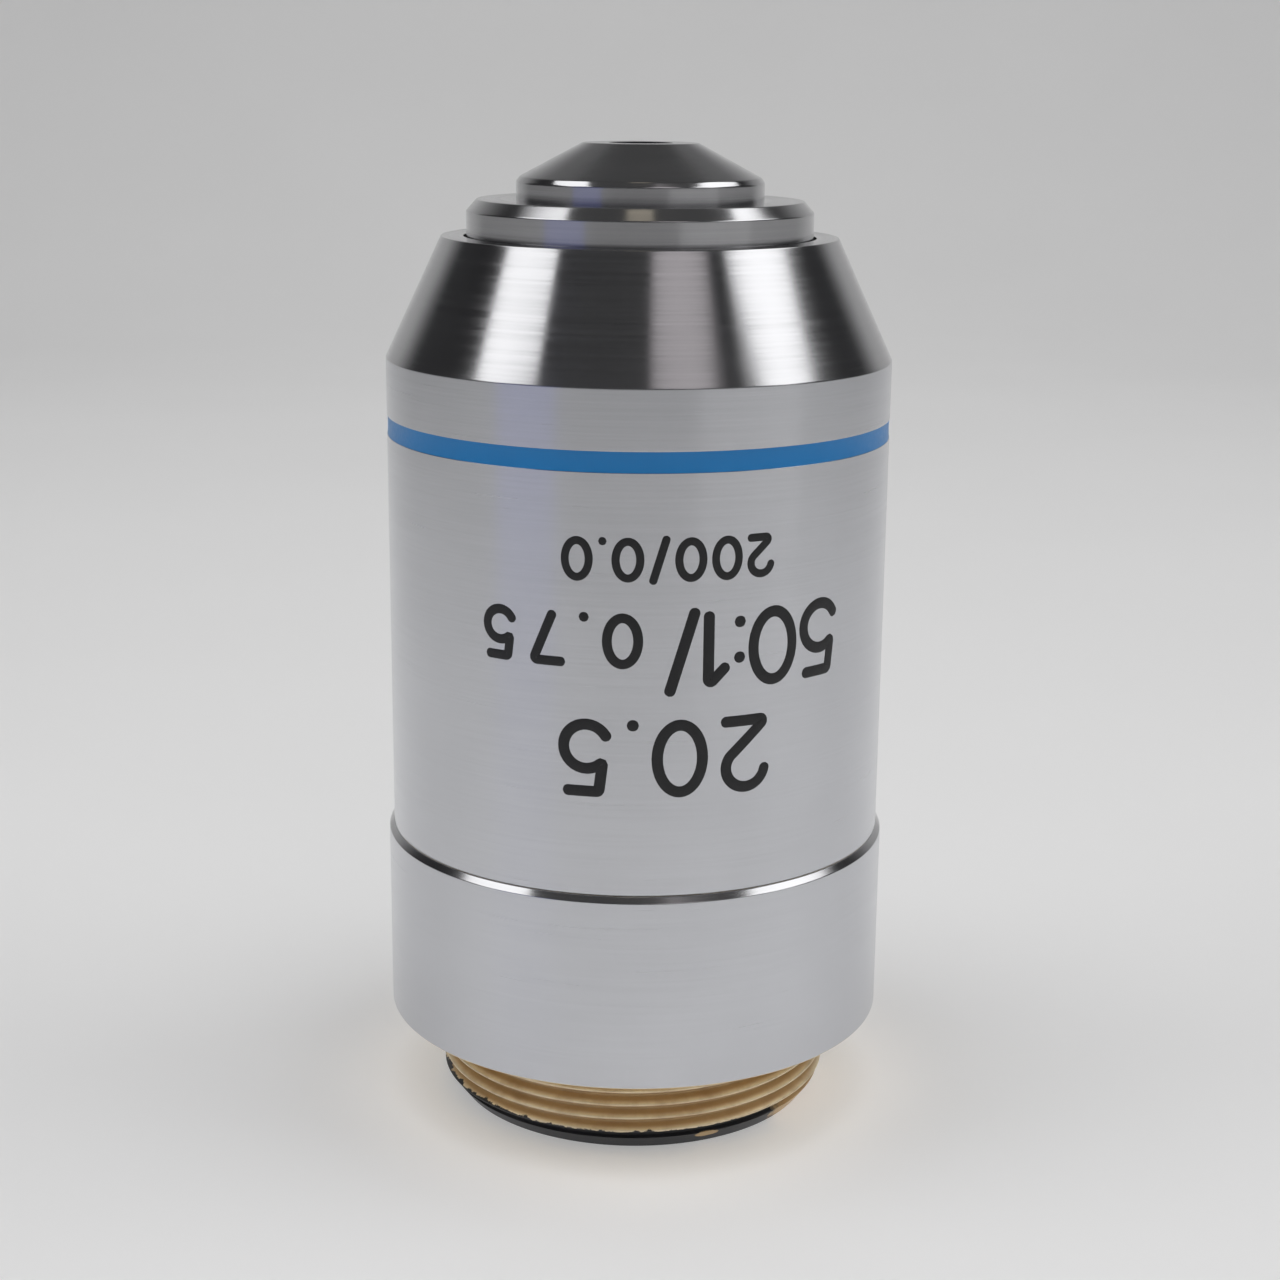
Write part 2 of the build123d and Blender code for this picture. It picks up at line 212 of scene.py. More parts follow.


# bare brass: thread cut on the lathe and handled since, so it is tarnished in patches; the crests carry a
# painted highlight and the grooves painted shade
bareBrass = brassFinish("bare_turned_brass", {
    "root": 9.84, "crest": 10.12, "grooveShadeColour": "#CEB288", "crestHighlightColour": "#F7E8C8",
    "tarnish": 0.5, "tarnishColour": "#B99870", "tarnishSize": 1.6, "tarnishRange": (0.45, 0.7),
    "lineWidth": 0.1, "lineWander": 8.0,
    "metallic": 0.6,  # oxide and handling leave part of it dull
    "roughness": (0.36, 0.5), "relief": 0.3, "reliefDepth": 0.004, "paintColour": "#242427",
    "paintRoughness": 0.42, "paintRelief": 2.0, "paintTop": -3.6, "paintEdge": 0.02,
    "raggedDepth": 0.5, "raggedSize": 0.7, "boreEdge": 9.2,
    # places where the paint is gone: middle and reach in mm, then how far the wear frays
    "wornSpots": [((3.8, -9.0, -4.2), (0.75, 0.75, 0.2)), ((9.3, -3.2, -4.2), (3.4, 4.6, 1.2))],
    "wornRagged": 0.8, "wornRange": (1.25, 1.4)})


def paintedFinish(name, look):
    # one coloured or bare surface that drifts between two shades and has fine specks in its gloss
    finish, tree, place = startFinish(name)
    cloud = addNode(tree, "ShaderNodeTexNoise", {
        "Vector": place, "Scale": 1 / (look["cloudSize"] * mm), "Detail": 3.0}).outputs["Fac"]
    speck = addNode(tree, "ShaderNodeTexNoise", {
        "Vector": place, "Scale": 1 / (look["speckSize"] * mm), "Detail": 2.0}).outputs["Fac"]
    tint = addNode(tree, "ShaderNodeMix", {
        0: cloud, 6: linearColour(look["deep"]), 7: linearColour(look["pale"])}, data_type="RGBA")
    low, high = look["roughness"]
    speckLow, speckHigh = 0.3, 0.7
    rough = addNode(tree, "ShaderNodeMapRange", {
        0: speck, 1: speckLow, 2: speckHigh, 3: low, 4: high}).outputs[0]
    bump = addNode(tree, "ShaderNodeBump", {
        "Strength": look["relief"], "Distance": look["reliefDepth"] * mm, "Height": speck})
    surface = addNode(tree, "ShaderNodeBsdfPrincipled", {
        "Base Color": tint.outputs[2], "Metallic": look["metallic"], "Roughness": rough,
        "Normal": bump.outputs[0]})
    endFinish(tree, surface)
    return finish


# blue enamel: fired into its groove, so it has a soft shine with a faint orange peel
blueEnamel = paintedFinish("blue_enamel", {
    "deep": "#1074B6", "pale": "#187EC2", "cloudSize": 3.0, "speckSize": 0.2, "roughness": (0.3, 0.4),
    "relief": 0.15, "reliefDepth": 0.004, "metallic": 0.0})

# marking paint: black lacquer laid on in strokes, a hair proud of the plate
markingPaint = paintedFinish("black_marking_paint", {
    "deep": "#0C0C0E", "pale": "#19191C", "cloudSize": 1.2, "speckSize": 0.12, "roughness": (0.4, 0.55),
    "relief": 0.2, "reliefDepth": 0.004, "metallic": 0.0})

# blackened brass: oxide skin on turned brass, matt so that it stops stray light
blackenedBrass = paintedFinish("blackened_brass", {
    "deep": "#121214", "pale": "#221F1D", "cloudSize": 2.5, "speckSize": 0.15, "roughness": (0.5, 0.68),
    "relief": 0.2, "reliefDepth": 0.005, "metallic": 0.4})

# spring steel: flat wire drawn through a die, with its ends ground
springSteel = paintedFinish("drawn_spring_steel", {
    "deep": "#6F7072", "pale": "#8A8B8D", "cloudSize": 2.0, "speckSize": 0.15, "roughness": (0.3, 0.42),
    "relief": 0.2, "reliefDepth": 0.004, "metallic": 1.0})

# screw steel: turned and oiled, so it is a little darker than the spring
screwSteel = paintedFinish("turned_oiled_steel", {
    "deep": "#55565A", "pale": "#6B6C70", "cloudSize": 0.8, "speckSize": 0.1, "roughness": (0.3, 0.45),
    "relief": 0.2, "reliefDepth": 0.003, "metallic": 1.0})

# shim brass: rolled sheet, bright and a little cloudy
shimBrass = paintedFinish("rolled_brass_sheet", {
    "deep": "#B08F4E", "pale": "#CDAE6C", "cloudSize": 2.0, "speckSize": 0.1, "roughness": (0.24, 0.36),
    "relief": 0.15, "reliefDepth": 0.003, "metallic": 1.0})


def glassFinish(name, look):
    finish, tree, place = startFinish(name)
    smear = addNode(tree, "ShaderNodeTexNoise", {
        "Vector": place, "Scale": 1 / (look["smearSize"] * mm), "Detail": 3.0}).outputs["Fac"]
    clean, smeared = look["smearRange"]
    rough = addNode(tree, "ShaderNodeMapRange", {
        0: smear, 1: clean, 2: smeared, 3: 0.0, 4: look["smear"]}).outputs[0]
    tint = addNode(tree, "ShaderNodeMix", {
        0: smear, 6: linearColour(look["clear"]), 7: linearColour(look["tinted"])}, data_type="RGBA")
    surface = addNode(tree, "ShaderNodeBsdfPrincipled", {
        "Base Color": tint.outputs[2], "Roughness": rough, "IOR": look["ior"], "Transmission Weight": 1.0,
        "Coat Weight": look["coat"], "Coat Roughness": look["coatRoughness"],
        "Coat Tint": linearColour(look["coating"])})
    endFinish(tree, surface)
    return finish


# crown and flint glass: ground and polished, with a purple-blue coating against reflections
crownGlass = glassFinish("polished_crown_glass", {
    "clear": "#F4F8FA", "tinted": "#E6EFF4", "coating": "#B9B4E6", "ior": 1.52,
    "coat": 0.4, "coatRoughness": 0.02, "smear": 0.04, "smearSize": 1.5, "smearRange": (0.4, 0.8)})
flintGlass = glassFinish("polished_flint_glass", {
    "clear": "#F8F7EC", "tinted": "#EFEBD6", "coating": "#B9B4E6", "ior": 1.65,
    "coat": 0.4, "coatRoughness": 0.02, "smear": 0.04, "smearSize": 1.5, "smearRange": (0.4, 0.8)})
print("finishes made")


def roundedOutline(corners):
    # corners are (radius, height, edge break) in mm; each edge break is a short arc between two
    # holding points
    arcSteps, longestShare, holdShare = 4, 0.4, 0.5
    outline = []
    count = len(corners)
    for i, (r, z, edge) in enumerate(corners):
        corner = Vector((r, z))
        if edge == 0:
            outline.append(corner)
            continue
        before = Vector(corners[i - 1][:2]) - corner
        after = Vector(corners[(i + 1) % count][:2]) - corner
        reach = min(edge, longestShare * before.length, longestShare * after.length)
        start = corner + before.normalized() * reach
        end = corner + after.normalized() * reach
        outline.append(start + before.normalized() * reach * holdShare)
        for step in range(arcSteps + 1):
            t = step / arcSteps
            outline.append(start * (1 - t) ** 2 + corner * 2 * t * (1 - t) + end * t ** 2)
        outline.append(end + after.normalized() * reach * holdShare)
    return outline


def startTree(name, inputs):
    # inputs are (kind of socket, names); every tree gives one piece of geometry
    tree = bpy.data.node_groups.new(name, "GeometryNodeTree")
    for kind, names in inputs:
        for socket in names:
            tree.interface.new_socket(socket, in_out="INPUT", socket_type="NodeSocket" + kind)
    tree.interface.new_socket("Piece", in_out="OUTPUT", socket_type="NodeSocketGeometry")
    return tree


turnedInputs = [
    ("Geometry", ["Outline"]), ("Int", ["Segments"]),
    ("Material", ["Inner Finish", "Outer Finish", "Trim Finish"]),
    ("Float", ["Outer Above", "Outer Beyond", "Trim Above"])]
turnedTree = startTree("turnedPiece", turnedInputs)


def addTurning(tree, given):
    spinRadius = 0.001  # the ring that the outline is carried round
    outline = addNode(tree, "GeometryNodeMeshToCurve", {"Mesh": given["Outline"]}).outputs[0]
    outline = addNode(tree, "GeometryNodeTransform", {
        "Geometry": outline, "Translation": (-spinRadius, 0, 0), "Scale": (1, -1, 1)}).outputs[0]
    ring = addNode(tree, "GeometryNodeCurvePrimitiveCircle", {
        "Resolution": given["Segments"], "Radius": spinRadius}, mode="RADIUS").outputs["Curve"]
    ring = addNode(tree, "GeometryNodeSetCurveNormal", {"Curve": ring}, mode="Z_UP").outputs[0]
    piece = addNode(tree, "GeometryNodeCurveToMesh", {"Curve": ring, "Profile Curve": outline}).outputs[0]
    return addNode(tree, "GeometryNodeMergeByDistance", {
        "Geometry": piece, "Distance": mergeReach}).outputs[0]


def addFinishes(tree, given, piece):
    # the inner finish goes everywhere, then the outer one beyond a radius and above a height, then
    # the trim higher up
    parts, _, radius = axisPlace(tree, addNode(tree, "GeometryNodeInputPosition").outputs[0])
    beyond = addNode(tree, "FunctionNodeCompare", {
        "A": radius, "B": given["Outer Beyond"]}, operation="GREATER_THAN")
    piece = addNode(tree, "GeometryNodeRealizeInstances", {"Geometry": piece}).outputs[0]
    piece = addNode(tree, "GeometryNodeSetMaterial", {
        "Geometry": piece, "Material": given["Inner Finish"]}).outputs[0]
    for level, finish in (("Outer Above", "Outer Finish"), ("Trim Above", "Trim Finish")):
        above = addNode(tree, "FunctionNodeCompare", {
            "A": parts["Z"], "B": given[level]}, operation="GREATER_THAN")
        both = addNode(tree, "FunctionNodeBooleanMath", {
            0: above.outputs[0], 1: beyond.outputs[0]}, operation="AND")
        piece = addNode(tree, "GeometryNodeSetMaterial", {
            "Geometry": piece, "Selection": both.outputs[0], "Material": given[finish]}).outputs[0]
    addNode(tree, "NodeGroupOutput", {"Piece": piece})


def growTurned(tree):
    given = addNode(tree, "NodeGroupInput").outputs
    addFinishes(tree, given, addTurning(tree, given))


growTurned(turnedTree)
noTrim = {"Trim Finish": None, "Trim Above": 10.0}  # for pieces with no third finish


def keepResult(piece, modifier):
    bpy.context.view_layer.update()
    result = bpy.data.meshes.new_from_object(piece.evaluated_get(bpy.context.evaluated_depsgraph_get()))
    piece.modifiers.remove(modifier)
    piece.data = result
    result.name = piece.name
    return result


def bakeTree(piece, tree, values):
    modifier = piece.modifiers.new("shape", "NODES")
    modifier.node_group = tree
    sockets = {s.name: s.identifier for s in tree.interface.items_tree if s.in_out == "INPUT"}
    for name, value in values.items():
        modifier[sockets[name]] = value
    grown = keepResult(piece, modifier)
    shell = bmesh.new()
    shell.from_mesh(grown)
    bmesh.ops.recalc_face_normals(shell, faces=shell.faces)
    shell.to_mesh(grown)
    shell.free()
    grown.shade_smooth()
    grown.set_sharp_from_angle(angle=sharpAngle)


def outlineObject(name, outline, closed=True):
    count = len(outline)
    edges = [(i, (i + 1) % count) for i in range(count if closed else count - 1)]
    mesh = bpy.data.meshes.new(name)
    mesh.from_pydata([(p[0] * mm, p[1] * mm, 0) for p in outline], edges, [])
    piece = bpy.data.objects.new(name, mesh)
    scene.collection.objects.link(piece)
    return piece


sleeve = {
    "radius": 12.59, "bore": 11.44, "foot": 9.76, "footChamfer": 0.07, "footEdge": 0.02,
    "bandBottom": 30.0, "bandTop": 30.97, "groove": 12.39, "coneBase": 33.79, "coneFront": 39.69,
    "coneFrontRadius": 9.8, "frontBore": 8.7, "stop": 33.29, "edge": 0.04, "segments": 192}


def makeSleeve(s):
    corners = [
        (s["bore"], s["foot"], 0), (s["radius"] - s["footChamfer"], s["foot"], s["footEdge"]),
        (s["radius"], s["foot"] + s["footChamfer"], s["footEdge"]),
        (s["radius"], s["bandBottom"], s["edge"] / 2), (s["groove"], s["bandBottom"], 0),
        (s["groove"], s["bandTop"], 0), (s["radius"], s["bandTop"], s["edge"] / 2),
        (s["radius"], s["coneBase"], s["edge"]), (s["coneFrontRadius"], s["coneFront"], s["edge"]),
        (s["frontBore"], s["coneFront"], s["edge"]), (s["frontBore"], s["stop"], 0),
        (s["bore"], s["stop"], 0)]
    piece = outlineObject("sleeveShell", roundedOutline(corners))
    bakeTree(piece, turnedTree, {
        "Segments": s["segments"], "Inner Finish": satinChrome, "Outer Finish": polishedChrome,
        "Outer Above": s["coneBase"] * mm, "Outer Beyond": 0.0, **noTrim})
    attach(piece, "housing")
    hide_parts("outer_sleeve")


makeSleeve(sleeve)
print("sleeve made")


def cutFrom(piece, points, depth, direction):
    # takes a prism out of a piece: points are its end face, and depth is how far it runs along direction
    mesh = bpy.data.meshes.new("cutter")
    shape = bmesh.new()
    face = shape.faces.new([shape.verts.new(p) for p in points])
    grown = bmesh.ops.extrude_face_region(shape, geom=[face])["geom"]
    corners = [v for v in grown if isinstance(v, bmesh.types.BMVert)]
    bmesh.ops.translate(shape, vec=direction * depth, verts=corners)
    bmesh.ops.recalc_face_normals(shape, faces=shape.faces)
    shape.to_mesh(mesh)
    shape.free()
    cutter = bpy.data.objects.new("cutter", mesh)
    scene.collection.objects.link(cutter)
    modifier = piece.modifiers.new("cut", "BOOLEAN")
    modifier.object = cutter
    modifier.operation = "DIFFERENCE"
    modifier.solver = "EXACT"
    result = keepResult(piece, modifier)
    bpy.data.objects.remove(cutter)
    result.shade_smooth()
    result.set_sharp_from_angle(angle=sharpAngle)


def slotFace(width, run, y, z, steps=12):
    # stadium that stands upright in the plane of a given y, all in mm
    points = []
    for side in (0, 1):
        for step in range(steps + 1):
            a = math.radians(180 * step / steps) + math.pi * side
            shift = run / 2 if side == 0 else -run / 2
            points.append(Vector((width / 2 * math.cos(a), y, z + shift + width / 2 * math.sin(a))) * mm)
    if run == 0:  # a plain circle: the two half rounds share their end points
        points = points[:steps] + points[steps + 1:-1]
    return points


mount = {
    "bore": 8.22, "boreChamfer": 0.25, "end": -4.76, "crest": 10.12, "lead": 1.05, "leadDepth": 0.79,
    "undercutRadius": 9.62, "undercutTop": -0.75, "undercutFoot": -1.25, "recess": 0.2, "seat": 10.37,
    "collar": 12.84, "footChamfer": 0.05, "seam": 9.76, "chamfer": 0.27, "chamferRadius": 12.59,
    "spigot": 11.42, "spigotTop": 15.0, "guide": 8.6, "step": 1.0, "edge": 0.03, "footEdge": 0.02,
    "segments": 240, "rowsPerTurn": 24, "pitch": 0.7056,
    "depth": 0.45,  # 55 degree form with rounded crest and root, which a cosine follows closely
    "crestHeight": -1.46, "threadTop": -0.5, "plateFoot": 0.05, "plateBeyond": 12.0,
    "holeRadius": 1.02, "holeHeight": 12.38, "holeInset": 1.0, "holeDepth": 4.0}

threadTree = startTree("threadedPiece", turnedInputs + [
    ("Float", ["Pitch", "Depth", "Crest Radius", "Crest Height", "Thread Top"])])


def growThread(tree):
    # right-hand thread: the groove's radius goes as a cosine of height over pitch less the turn
    # from the front
    given = addNode(tree, "NodeGroupInput").outputs
    blank = addTurning(tree, given)
    place = addNode(tree, "GeometryNodeInputPosition").outputs[0]
    parts, flat, radius = axisPlace(tree, place)
    turn = addNode(tree, "ShaderNodeMath", {0: parts["Y"], 1: parts["X"]}, operation="ARCTAN2").outputs[0]
    turn = addNode(tree, "ShaderNodeMath", {0: turn, 1: math.pi / 2}, operation="ADD").outputs[0]
    rise = addNode(tree, "ShaderNodeMath", {
        0: parts["Z"], 1: given["Crest Height"]}, operation="SUBTRACT").outputs[0]
    rise = addNode(tree, "ShaderNodeMath", {0: rise, 1: given["Pitch"]}, operation="DIVIDE").outputs[0]
    phase = addNode(tree, "ShaderNodeMath", {0: rise, 1: math.tau}, operation="MULTIPLY").outputs[0]
    phase = addNode(tree, "ShaderNodeMath", {0: phase, 1: turn}, operation="SUBTRACT").outputs[0]
    wave = addNode(tree, "ShaderNodeMath", {0: phase}, operation="COSINE").outputs[0]
    wave = addNode(tree, "ShaderNodeMath", {0: wave, 1: 0.5, 2: -0.5}, operation="MULTIPLY_ADD").outputs[0]
    groove = addNode(tree, "ShaderNodeMath", {
        0: wave, 1: given["Depth"], 2: given["Crest Radius"]}, operation="MULTIPLY_ADD").outputs[0]
    cut = addNode(tree, "ShaderNodeMath", {0: radius, 1: groove}, operation="MINIMUM").outputs[0]
    share = addNode(tree, "ShaderNodeMath", {0: cut, 1: radius}, operation="DIVIDE").outputs[0]
    inward = addNode(tree, "ShaderNodeVectorMath", {0: flat, "Scale": share}, operation="SCALE").outputs[0]
    lift = addNode(tree, "ShaderNodeCombineXYZ", {"Z": parts["Z"]}).outputs[0]
    moved = addNode(tree, "ShaderNodeVectorMath", {0: inward, 1: lift}, operation="ADD").outputs[0]
    below = addNode(tree, "FunctionNodeCompare", {
        "A": parts["Z"], "B": given["Thread Top"]}, operation="LESS_THAN")
    piece = addNode(tree, "GeometryNodeSetPosition", {
        "Geometry": blank, "Selection": below.outputs[0], "Position": moved}).outputs[0]
    addFinishes(tree, given, piece)


growThread(threadTree)


def makeMount(s):
    step = s["pitch"] / s["rowsPerTurn"]
    rows = []
    for (r0, z0), (r1, z1) in (
            ((s["crest"] - s["leadDepth"], s["end"]), (s["crest"], s["end"] + s["lead"])),
            ((s["crest"], s["end"] + s["lead"]), (s["crest"], s["undercutFoot"])),
            ((s["crest"], s["undercutFoot"]), (s["undercutRadius"], s["undercutTop"]))):
        count = round((z1 - z0) / step)
        rows += [(r0 + (r1 - r0) * i / count, z0 + (z1 - z0) * i / count, 0) for i in range(count)]
    corners = [(s["bore"] + s["boreChamfer"], s["end"], 0)] + rows + [
        (s["undercutRadius"], s["undercutTop"], 0), (s["undercutRadius"], s["recess"], 0),
        (s["seat"], s["recess"], 0), (s["seat"], 0, 0), (s["collar"] - s["footChamfer"], 0, s["footEdge"]),
        (s["collar"], s["footChamfer"], s["footEdge"]),
        (s["collar"], s["seam"] - s["chamfer"], s["edge"]), (s["chamferRadius"], s["seam"], s["edge"]),
        (s["spigot"], s["seam"], 0), (s["spigot"], s["spigotTop"], s["edge"]),
        (s["guide"], s["spigotTop"], 0), (s["guide"], s["step"], 0), (s["bore"], s["step"], 0),
        (s["bore"], s["end"] + s["boreChamfer"], 0)]
    piece = outlineObject("threadedMount", roundedOutline(corners))
    bakeTree(piece, threadTree, {
        "Segments": s["segments"], "Inner Finish": bareBrass, "Outer Finish": satinChrome,
        "Outer Above": s["plateFoot"] * mm, "Outer Beyond": s["plateBeyond"] * mm,
        "Trim Finish": polishedChrome, "Trim Above": (s["seam"] - s["chamfer"]) * mm,
        "Pitch": s["pitch"] * mm, "Depth": s["depth"] * mm, "Crest Radius": s["crest"] * mm,
        "Crest Height": s["crestHeight"] * mm, "Thread Top": s["threadTop"] * mm})
    hole = slotFace(2 * s["holeRadius"], 0, s["guide"] - s["holeInset"], s["holeHeight"])
    cutFrom(piece, hole, s["holeDepth"] * mm, Vector((0, 1, 0)))
    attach(piece, "housing")
    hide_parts("mount_body")


makeMount(mount)
print("mount and thread made")

band = {
    "inner": 12.39, "bottom": 30.0, "top": 30.97, "edgeRadius": 12.568, "middleRadius": 12.548,
    "rows": 8, "segments": 192}


def makeBand(s):
    # the enamel shrank a little as it cooled, so it is lowest along its middle
    width = s["top"] - s["bottom"]
    corners = [(s["inner"], s["bottom"], 0)]
    for row in range(s["rows"] + 1):
        t = row / s["rows"]
        dip = 4 * t * (1 - t)
        radius = s["edgeRadius"] + (s["middleRadius"] - s["edgeRadius"]) * dip
        corners.append((radius, s["bottom"] + width * t, 0))
    corners.append((s["inner"], s["top"], 0))
    piece = outlineObject("enamelBand", roundedOutline(corners))
    bakeTree(piece, turnedTree, {
        "Segments": s["segments"], "Inner Finish": blueEnamel, "Outer Finish": blueEnamel,
        "Outer Above": 0.0, "Outer Beyond": 0.0, **noTrim})
    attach(piece, "housing")
    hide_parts("colour_band")


makeBand(band)

barrel = {
    "bore": 7.3, "radius": 8.55, "rear": 4.0, "rearChamfer": 0.2, "flange": 11.19, "flangeBottom": 30.59,
    "flangeTop": 33.09, "ringTop": 41.45, "ringChamfer": 0.5, "ringChamferHeight": 0.56,
    "frontBore": 5.62, "edge": 0.04, "plateAbove": 38.5, "plateBeyond": 5.7, "slotWidth": 1.52,
    "slotRun": 2.62, "slotHeight": 13.63, "slotFloor": 7.9, "slotDepth": 2.0, "segments": 192}


def makeBarrel(s):
    # the front cell stands against the barrel's inner shoulder
    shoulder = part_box("front_doublet_cell")[1].z / mm
    corners = [
        (s["bore"], s["rear"], 0), (s["radius"] - s["rearChamfer"], s["rear"], s["edge"]),
        (s["radius"], s["rear"] + s["rearChamfer"], s["edge"]), (s["radius"], s["flangeBottom"], 0),
        (s["flange"], s["flangeBottom"], s["edge"]), (s["flange"], s["flangeTop"], s["edge"]),
        (s["radius"], s["flangeTop"], 0), (s["radius"], s["plateAbove"], 0),
        (s["radius"], s["ringTop"] - s["ringChamferHeight"], s["edge"]),
        (s["radius"] - s["ringChamfer"], s["ringTop"], s["edge"]), (s["frontBore"], s["ringTop"], 0),
        (s["frontBore"], shoulder, 0), (s["bore"], shoulder, 0)]
    piece = outlineObject("barrelTube", roundedOutline(corners))
    bakeTree(piece, turnedTree, {
        "Segments": s["segments"], "Inner Finish": blackenedBrass, "Outer Finish": polishedChrome,
        "Outer Above": s["plateAbove"] * mm, "Outer Beyond": s["plateBeyond"] * mm, **noTrim})
    slot = slotFace(s["slotWidth"], s["slotRun"], s["slotFloor"], s["slotHeight"])
    cutFrom(piece, slot, s["slotDepth"] * mm, Vector((0, 1, 0)))
    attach(piece, "lens_unit")
    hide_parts("lens_barrel")


makeBarrel(barrel)

nose = {
    "opening": 1.565, "tip": 44.18, "tipRadius": 2.84, "rimTop": 42.45, "radius": 6.1, "bevel": 0.16,
    "foot": 41.45, "tail": 5.6, "pocket": 4.3, "cellTop": 41.93, "lensPocket": 1.985,
    "lensSeat": 43.93, "edge": 0.05, "plateInset": 0.01, "segments": 160}


def makeNose(s):
    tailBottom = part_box("nose_cap")[0].z / mm
    slope = (s["tip"] - s["rimTop"]) / (s["radius"] - s["tipRadius"])
    corners = [
        (s["opening"], s["tip"], s["edge"]), (s["tipRadius"], s["tip"], s["edge"]),
        (s["radius"] - s["bevel"], s["rimTop"] + s["bevel"] * slope, s["edge"]),
        (s["radius"], s["rimTop"] - s["bevel"], s["edge"]), (s["radius"], s["foot"], 0),
        (s["tail"], s["foot"], 0), (s["tail"], tailBottom, 0), (s["pocket"], tailBottom, 0),
        (s["pocket"], s["cellTop"], 0), (s["lensPocket"], s["cellTop"], 0),
        (s["lensPocket"], s["lensSeat"], 0), (s["opening"], s["lensSeat"], 0)]
    piece = outlineObject("noseCone", roundedOutline(corners))
    bakeTree(piece, turnedTree, {
        "Segments": s["segments"], "Inner Finish": blackenedBrass, "Outer Finish": polishedChrome,
        "Outer Above": s["foot"] * mm, "Outer Beyond": (s["opening"] + s["plateInset"]) * mm, **noTrim})
    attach(piece, "lens_unit")
    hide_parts("nose_cap")


makeNose(nose)
print("band, barrel and nose made")

spring = {
    "meanRadius": 9.995, "bottom": 15.0, "top": 30.59, "turns": 5.0, "wireWidth": 0.8, "wireHeight": 0.7,
    "pointsPerTurn": 48, "travel": 2.5}

springTree = startTree("flatWireCoil", [
    ("Geometry", ["Start"]), ("Int", ["Points Per Turn"]), ("Material", ["Finish"]),
    ("Float", ["Mean Radius", "Bottom", "Top", "Turns", "Wire Width", "Wire Height"])])


def growSpring(tree):
    given = addNode(tree, "NodeGroupInput").outputs
    length = addNode(tree, "ShaderNodeMath", {
        0: given["Top"], 1: given["Bottom"]}, operation="SUBTRACT").outputs[0]
    coil = addNode(tree, "GeometryNodeCurveSpiral", {
        "Resolution": given["Points Per Turn"], "Rotations": given["Turns"],
        "Start Radius": given["Mean Radius"], "End Radius": given["Mean Radius"],
        "Height": length}).outputs[0]
    coil = addNode(tree, "GeometryNodeSetCurveNormal", {"Curve": coil}, mode="Z_UP").outputs[0]
    wire = addNode(tree, "GeometryNodeCurvePrimitiveQuadrilateral", {
        "Width": given["Wire Width"], "Height": given["Wire Height"]}).outputs[0]
    body = addNode(tree, "GeometryNodeCurveToMesh", {
        "Curve": coil, "Profile Curve": wire, "Fill Caps": True}).outputs[0]
    # the two ends are ground flat on their seats
    place = addNode(tree, "GeometryNodeInputPosition").outputs[0]
    parts = addNode(tree, "ShaderNodeSeparateXYZ", {0: place}).outputs
    ground = addNode(tree, "ShaderNodeClamp", {"Value": parts["Z"], "Min": 0.0, "Max": length}).outputs[0]
    height = addNode(tree, "ShaderNodeMath", {0: ground, 1: given["Bottom"]}, operation="ADD").outputs[0]
    moved = addNode(tree, "ShaderNodeCombineXYZ", {"X": parts["X"], "Y": parts["Y"], "Z": height}).outputs[0]
    body = addNode(tree, "GeometryNodeSetPosition", {"Geometry": body, "Position": moved}).outputs[0]
    body = addNode(tree, "GeometryNodeMergeByDistance", {"Geometry": body, "Distance": mergeReach}).outputs[0]
    body = addNode(tree, "GeometryNodeRealizeInstances", {"Geometry": body}).outputs[0]
    body = addNode(tree, "GeometryNodeSetMaterial", {
        "Geometry": body, "Material": given["Finish"]}).outputs[0]
    addNode(tree, "NodeGroupOutput", {"Piece": body})


growSpring(springTree)


def makeSpring(s):
    piece = outlineObject("returnCoil", [Vector((0, 0))], closed=False)
    bakeTree(piece, springTree, {
        "Mean Radius": s["meanRadius"] * mm, "Bottom": s["bottom"] * mm, "Top": s["top"] * mm,
        "Turns": s["turns"], "Wire Width": s["wireWidth"] * mm, "Wire Height": s["wireHeight"] * mm,
        "Points Per Turn": s["pointsPerTurn"], "Finish": springSteel})
    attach(piece, "housing")
    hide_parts("return_spring")
    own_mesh(piece)


makeSpring(spring)
print("spring made")

# numbers round the sleeve, upside down when it stands on its thread: text, cap height and stroke
# width (mm), height of the foot line, and the angles from the front at which the line begins and
# ends (degrees, counted to the right)
markings = {
    "radius": 12.59, "pointGap": 0.05, "corner": 0.12, "cornerSteps": 4, "sides": 10,
    "proud": 0.012, "proudAtHalf": 0.25,  # height of a stroke whose half width is 0.25 mm
    "lines": [
        {"text": "200/0.0", "cap": 2.09, "stroke": 0.38, "foot": 27.06, "from": 30.4, "to": -16.0},
        {"text": "50:1/", "cap": 3.81, "stroke": 0.54, "foot": 23.57, "from": 49.4, "to": 6.0},
        {"text": "0.75", "cap": 2.65, "stroke": 0.46, "foot": 23.53, "from": 1.5, "to": -34.5},
        {"text": "20.5", "cap": 3.79, "stroke": 0.54, "foot": 18.46, "from": 30.3, "to": -16.6}]}


def arcPoints(x, y, rx, ry, start, end, count=20):
    turns = [math.radians(start + (end - start) * i / count) for i in range(count + 1)]
    return [(x + rx * math.cos(t), y + ry * math.sin(t)) for t in turns]


